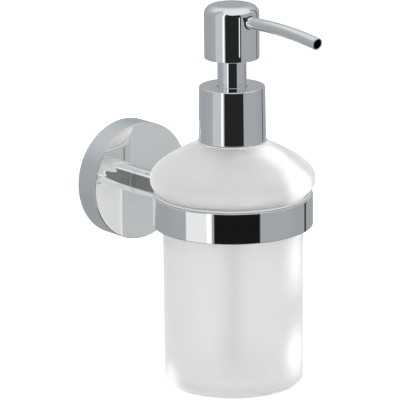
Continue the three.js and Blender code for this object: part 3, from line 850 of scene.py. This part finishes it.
def pierce(piece, tool_mesh):
    """Cuts a bmesh tool out of a piece, and keeps the piece's smooth shading."""
    data = bpy.data.meshes.new("tool")
    tool_mesh.to_mesh(data)
    tool_mesh.free()
    tool = bpy.data.objects.new("tool", data)
    bpy.context.scene.collection.objects.link(tool)
    cutter = piece.modifiers.new("hole", "BOOLEAN")
    cutter.operation = "DIFFERENCE"
    cutter.solver = "EXACT"
    cutter.object = tool
    bpy.context.view_layer.update()
    depsgraph = bpy.context.evaluated_depsgraph_get()
    result = bpy.data.meshes.new_from_object(piece.evaluated_get(depsgraph))
    piece.modifiers.clear()
    keep = bpy.data.objects.new("keep", piece.data)
    bpy.context.scene.collection.objects.link(keep)
    piece.data = result
    result.set_sharp_from_angle(angle=CREASE)
    transfer = piece.modifiers.new("shading", "DATA_TRANSFER")
    transfer.object = keep
    transfer.use_loop_data = True
    transfer.data_types_loops = {"CUSTOM_NORMAL"}
    transfer.loop_mapping = "POLYINTERP_NEAREST"
    transfer.use_max_distance = True
    transfer.max_distance = 0.01 * MM
    bpy.context.view_layer.update()
    depsgraph = bpy.context.evaluated_depsgraph_get()
    shaded = bpy.data.meshes.new_from_object(piece.evaluated_get(depsgraph))
    piece.modifiers.clear()
    piece.data = shaded
    shaded.name = piece.name
    bpy.data.objects.remove(keep)
    bpy.data.objects.remove(tool)


def make_bushing():
    """Dark ring between the shell's hole and the spout, with a rounded outer lip."""
    outer = BUSHING_RADIUS
    inner = 2.85 * MM
    sunk = 0.15 * MM
    low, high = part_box("spout_bushing")
    back, front = AXIS.y - high.y, AXIS.y - low.y - sunk
    outline = [(inner, back), (outer, back), (outer, front, 0.25 * MM), (inner, front, 0.08 * MM)]
    turn = Matrix.Rotation(math.atan(SPOUT_RISE), 3, "X")

    def point_at(radius, along, angle):
        outward = Vector((radius * math.sin(angle), 0, radius * math.cos(angle)))
        return spout_point(along) + turn @ outward

    return finish_mesh(turned_mesh(soften(outline), FAIR, point_at), "spout_bushing")


def make_sleeve():
    """Bright tube round the stem, between the collar and the head."""
    radius, bottom, top = upright("stem_sleeve")
    inner = 5.95 * MM
    outline = [(inner, bottom), (radius, bottom), (radius, top), (inner, top)]
    return standing("stem_sleeve", soften(outline, 0.15 * MM), SMOOTH)


def spout_point(reach):
    """Place on the straight stretch of the spout's centre line."""
    return Vector((AXIS.x, AXIS.y - reach, SPOUT_START[1] + SPOUT_RISE * (reach - SPOUT_START[0])))


def spout_line(steps=40):
    """Centre line of the spout: straight out of the head, then one gentle bend."""
    def on_line(reach):
        return Vector((reach, SPOUT_START[1] + SPOUT_RISE * (reach - SPOUT_START[0])))
    bend = on_line(SPOUT_BEND)
    middle = on_line(SPOUT_MIDDLE)
    tip = Vector(SPOUT_TIP)
    further, before_bend = SPOUT_STRAIGHT
    points = [on_line(SPOUT_START[0]), on_line(SPOUT_START[0] + further), on_line(before_bend)]
    for k in range(steps + 1):
        t = k / steps
        points.append(bend * (1 - t) ** 2 + middle * 2 * t * (1 - t) + tip * t * t)
    return points


def make_spout():
    """Thin-walled tube along the spout's line, with rounded lips at its open end."""
    outer = 2.75 * MM
    bore = 2.2 * MM
    lip = (outer - bore) / 2
    line = spout_line()
    sides = FAIR
    lip_steps = 8
    mesh = bmesh.new()
    loops = []

    def loop(point, along, radius):
        across = Vector((-along.y, along.x))
        ring = []
        for k in range(sides):
            angle = 2 * math.pi * k / sides
            place = point + across * radius * math.cos(angle)
            sideways = AXIS.x + radius * math.sin(angle)
            ring.append(mesh.verts.new((sideways, AXIS.y - place.x, place.y)))
        return ring

    def direction(i):
        return (line[min(i + 1, len(line) - 1)] - line[max(i - 1, 0)]).normalized()

    last = len(line) - 1
    for i, point in enumerate(line[:-1]):
        loops.append(loop(point, direction(i), outer))
    end = direction(last)
    middle = (outer + bore) / 2
    for k in range(lip_steps + 1):
        angle = math.pi * k / lip_steps
        shift = end * (lip * math.sin(angle) - lip)
        loops.append(loop(line[last] + shift, end, middle + lip * math.cos(angle)))
    for i in range(last - 1, -1, -1):
        loops.append(loop(line[i], direction(i), bore))
    for a, b in zip(loops, loops[1:] + loops[:1]):
        for k in range(sides):
            j = (k + 1) % sides
            mesh.faces.new((a[k], a[j], b[j], b[k]))
    bmesh.ops.recalc_face_normals(mesh, faces=mesh.faces)
    return finish_mesh(mesh, "spout")


# ------------------------------------------------------------------ fixings

def slab(sizes, middle):
    """Bmesh of a box, used as a cutting tool for slots."""
    mesh = bmesh.new()
    bmesh.ops.create_cube(mesh, size=1)
    bmesh.ops.scale(mesh, vec=sizes, verts=mesh.verts)
    bmesh.ops.translate(mesh, vec=middle, verts=mesh.verts)
    return mesh


def make_bracket():
    """Cast disc with a recessed front and two countersunk holes."""
    radius, wall_y, front = level("wall_bracket")
    recess = (15.5 * MM, front + 1.2 * MM)
    outline = [
        (0, recess[1]),
        (recess[0], recess[1], 0.6 * MM),
        (recess[0] + MM, front, 0.4 * MM),
        (radius - MM, front, 0.4 * MM),
        (radius, front + MM, 0.4 * MM),
        (radius, wall_y, 0.3 * MM),
        (0, wall_y),
    ]
    bracket = lying("wall_bracket", soften(outline), SMOOTH)
    head, shank, sink = 3.6 * MM, 1.95 * MM, 1.7 * MM
    for name in ("wall_screw_upper", "wall_screw_lower"):
        low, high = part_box(name)
        height = (low.z + high.z) / 2
        tool = [
            (0, recess[1] - MM), (head, recess[1] - MM), (head, recess[1]),
            (shank, recess[1] + sink), (shank, wall_y + MM), (0, wall_y + MM),
        ]

        def point_at(r, along, angle, height=height):
            return (r * math.sin(angle), along, height + r * math.cos(angle))

        pierce(bracket, turned_mesh(tool, FAIR, point_at))
    return bracket


def make_wall_screw(node):
    """Countersunk wood screw with a thread and a cross recess."""
    low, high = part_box(node)
    height = (low.z + high.z) / 2
    head = (high.z - low.z) / 2
    sink = 1.7 * MM
    crest = 1.75 * MM
    pitch = 1.4 * MM
    start = low.y + sink + 2.5 * MM
    end = high.y - 2 * MM
    outline = [
        (0, low.y), (head, low.y, 0.12 * MM), (crest, low.y + sink, 0.2 * MM),
        *thread_rows(crest, start, end, pitch), (0, high.y),
    ]
    thread = (start, end, crest, pitch, -0.45 * MM)
    screw = lying(node, soften(outline), 32, height, thread)
    wide, deep = 0.8 * MM, 1.2 * MM
    for across in ((head, wide), (wide, head)):
        pierce(screw, slab((across[0], 2 * deep, across[1]), (0, low.y, height)))
    return screw


def make_wall_plug(node):
    """Expanding plug: a ribbed sleeve, slotted from its tip."""
    low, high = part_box(node)
    height = (low.z + high.z) / 2
    outer = (high.z - low.z) / 2
    bore = 1.95 * MM
    collar = 4 * MM
    rib = 1.5 * MM
    shallow = outer - 0.22 * MM
    outline = [(bore, low.y), (outer, low.y, 0.3 * MM), (outer, low.y + collar, 0.1 * MM)]
    count = int((high.y - low.y - collar) / rib)
    for k in range(count):
        start = low.y + collar + k * rib
        outline.append((shallow, start + 0.15 * MM, 0.05 * MM))
        outline.append((outer, start + 0.8 * rib, 0.05 * MM))
    outline += [(shallow, high.y, 0.1 * MM), (bore, high.y)]
    plug = lying(node, soften(outline, 0.08 * MM), 48, height)
    slot = 0.8 * MM
    length = high.y - low.y - collar + MM
    middle = low.y + collar + length / 2
    pierce(plug, slab((8 * MM, length, slot), (0, middle, height)))
    return plug


def make_grub():
    """Threaded grub screw with a hexagon socket, upright under the bracket."""
    low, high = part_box("grub_screw")
    middle = (low + high) / 2
    radius = (high.x - low.x) / 2
    pitch = 0.7 * MM
    edge = 0.3 * MM

    def point_at(r, z, angle):
        return (middle.x + r * math.sin(angle), middle.y - r * math.cos(angle), z)

    outline = [
        (0, low.z), (radius - edge, low.z, 0),
        *thread_rows(radius, low.z + edge, high.z - edge, pitch),
        (radius - edge, high.z, 0), (0, high.z),
    ]
    thread = (low.z + edge, high.z - edge, radius, pitch, -0.3 * MM)
    mesh = turned_mesh(soften(outline), 48, threaded(point_at, thread))
    grub = finish_mesh(mesh, "grub_screw")
    key, deep = 1.1 * MM, 2.2 * MM
    socket = [(0, low.z - MM), (key, low.z - MM), (key, low.z + deep), (0, low.z + deep)]
    pierce(grub, turned_mesh(socket, 6, point_at))
    return grub


def make_washer():
    """Flat washer under the arm screw's head."""
    radius, back, front = level("arm_washer")
    inner = 2.6 * MM
    outline = [(inner, front), (radius, front), (radius, back), (inner, back)]
    return lying("arm_washer", soften(outline, 0.15 * MM))


def make_arm_screw():
    """Low headed screw with a hexagon socket, its thread in the arm."""
    head, top, tip = level("arm_screw")
    shank, deep, pitch = 2.35 * MM, 2.6 * MM, 0.8 * MM
    start, end = tip + 0.4 * MM, top - deep - 3 * MM
    outline = [
        (0, tip), (shank - 0.4 * MM, tip, 0), *thread_rows(shank, start, end, pitch),
        (shank, top - deep, 0), (head, top - deep, 0.2 * MM), (head, top, 0.4 * MM), (0, top),
    ]
    screw = lying("arm_screw", soften(outline), 48, 0.0, (start, end, shank, pitch, -0.35 * MM))

    def point_at(r, along, angle):
        return (r * math.sin(angle), along, r * math.cos(angle))

    key = [(0, top - 1.4 * MM), (1.6 * MM, top - 1.4 * MM), (1.6 * MM, top + MM), (0, top + MM)]
    pierce(screw, turned_mesh(key, 6, point_at))
    return screw


def make_ring_screw():
    """Countersunk slotted screw inside the ring, its thread in the arm."""
    head, tip, face = level("ring_screw")
    shank, sink, pitch = 2.35 * MM, 2.05 * MM, 0.8 * MM
    start, end = face + sink + 3 * MM, tip - 0.4 * MM
    outline = [
        (0, face), (head, face, 0.12 * MM), (shank, face + sink, 0.2 * MM),
        *thread_rows(shank, start, end, pitch), (shank - 0.4 * MM, tip, 0), (0, tip),
    ]
    screw = lying("ring_screw", soften(outline), 48, 0.0, (start, end, shank, pitch, -0.35 * MM))
    slot = 0.9 * MM
    pierce(screw, slab((slot, sink, 3 * head), (0, face, 0)))
    return screw


# ------------------------------------------------------------------ closure and pump

def make_nut():
    """Closure nut with a thread inside."""
    outer, bottom, top = upright("closure_nut")
    bore, hole, lip, pitch = 12.8 * MM, 7 * MM, 43.7 * MM, 3 * MM
    start, end = bottom + MM, lip - MM
    outline = [
        (bore, bottom, 0.3 * MM), (outer, bottom, 0.3 * MM), (outer, top, 0.8 * MM),
        (hole, top, 0.3 * MM), (hole, lip), (bore, lip, 0.3 * MM),
        *thread_rows(bore, end, start, pitch),
    ]
    thread = (start, end, bore, pitch, 0.55 * MM)
    return standing("closure_nut", soften(outline), SMOOTH, thread)


def make_cylinder():
    """Pump body: flange, barrel, tapered foot and the nipple that holds the dip tube."""
    flange, nipple_end, top = upright("pump_cylinder")
    outer, bore, floor = 7.4 * MM, 6.2 * MM, -8 * MM
    inlet, inlet_end, nipple, nipple_bore = 1.6 * MM, -10.2 * MM, 4.3 * MM, 3.15 * MM
    under = 42.3 * MM
    outline = [
        (nipple_bore, nipple_end, 0.2 * MM), (nipple, nipple_end, 0.3 * MM),
        (nipple, inlet_end - 0.6 * MM, 0.5 * MM), (outer, floor + 0.5 * MM, 0.8 * MM),
        (outer, 15 * MM, 0.1 * MM), (outer - 0.25 * MM, 15.4 * MM, 0.1 * MM),
        (outer - 0.25 * MM, 16.6 * MM, 0.1 * MM), (outer, 17 * MM, 0.1 * MM),
        (outer, under, 0.5 * MM), (flange, under, 0.2 * MM), (flange, top, 0.3 * MM),
        (bore, top), (bore, floor), (inlet, floor, 0.2 * MM), (inlet, inlet_end, 0.2 * MM),
        (nipple_bore, inlet_end),
    ]
    return standing("pump_cylinder", soften(outline), 96)


def make_dip_tube():
    """Thin clear tube that reaches almost to the bottle's floor."""
    outer, bottom, top = upright("dip_tube")
    inner = 2.1 * MM
    outline = [(inner, bottom), (outer, bottom), (outer, top), (inner, top)]
    return standing("dip_tube", soften(outline, 0.2 * MM), material=MATERIALS["tube_plastic"])


def make_gasket():
    """Flat rubber ring with a raised bead near each edge."""
    outer, bottom, top = upright("pump_gasket")
    inner, bead, low = 7.7 * MM, 0.8 * MM, 0.15 * MM
    outline = [
        (inner, bottom), (outer, bottom), (outer, top), (outer - bead, top),
        (outer - 1.4 * bead, top - low, 0.1 * MM), (inner + 1.4 * bead, top - low, 0.1 * MM),
        (inner + bead, top), (inner, top),
    ]
    return standing("pump_gasket", soften(outline, 0.2 * MM))


def make_guide():
    """Plug in the cylinder's mouth with a tube round the stem."""
    plug, bottom, top = upright("stem_guide")
    tube, bore, shoulder = 5.6 * MM, 3.5 * MM, 43.4 * MM
    outline = [
        (bore, bottom, 0.2 * MM), (plug, bottom, 0.4 * MM), (plug, shoulder, 0.1 * MM),
        (tube, shoulder + 0.2 * MM, 0.1 * MM), (tube, top, 0.5 * MM), (bore, top),
    ]
    return standing("stem_guide", soften(outline))


def make_spring():
    """Coil spring with closed ends, made at a single length."""
    low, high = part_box("return_spring")
    wire, mean, turns = 0.5 * MM, 4.4 * MM, 5.5
    first, last = low.z + wire, high.z - wire
    steps, sides = 36, 10
    count = round(turns * steps)
    mesh = bmesh.new()
    loops = []
    for i in range(count + 1):
        t = i / count
        angle = 2 * math.pi * turns * t
        height = first + (last - first) * t
        outward = Vector((math.cos(angle), math.sin(angle), 0))
        centre = Vector((AXIS.x, AXIS.y, height)) + outward * mean
        ring = []
        for k in range(sides):
            a = 2 * math.pi * k / sides
            upward = Vector((0, 0, wire * math.sin(a)))
            ring.append(mesh.verts.new(centre + outward * wire * math.cos(a) + upward))
        loops.append(ring)
    for a, b in zip(loops, loops[1:]):
        for k in range(sides):
            j = (k + 1) % sides
            mesh.faces.new((a[k], a[j], b[j], b[k]))
    mesh.faces.new(loops[0][::-1])
    mesh.faces.new(loops[-1])
    bmesh.ops.recalc_face_normals(mesh, faces=mesh.faces)
    spring = finish_mesh(mesh, "return_spring")
    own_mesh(spring)
    return spring


# ------------------------------------------------------------------ the whole scene

make_camera()
make_world()
make_strip()
make_floor()
for make in (
    make_rosette, make_arm, make_ring, make_liner, make_insert,
    make_collar, make_shell, make_sleeve, make_spout, make_bushing,
    make_bracket, make_grub, make_washer, make_arm_screw, make_ring_screw,
    make_nut, make_cylinder, make_dip_tube, make_gasket, make_guide, make_spring,
):
    make()
for side in ("upper", "lower"):
    make_wall_screw(f"wall_screw_{side}")
    make_wall_plug(f"wall_plug_{side}")
make_glows(make_bottle())
for name, node in frame["nodes"].items():
    node.data.materials.clear()
    node.data.materials.append(MATERIALS[SLOTS[name]])

bpy.context.scene.view_settings.view_transform = "Standard"
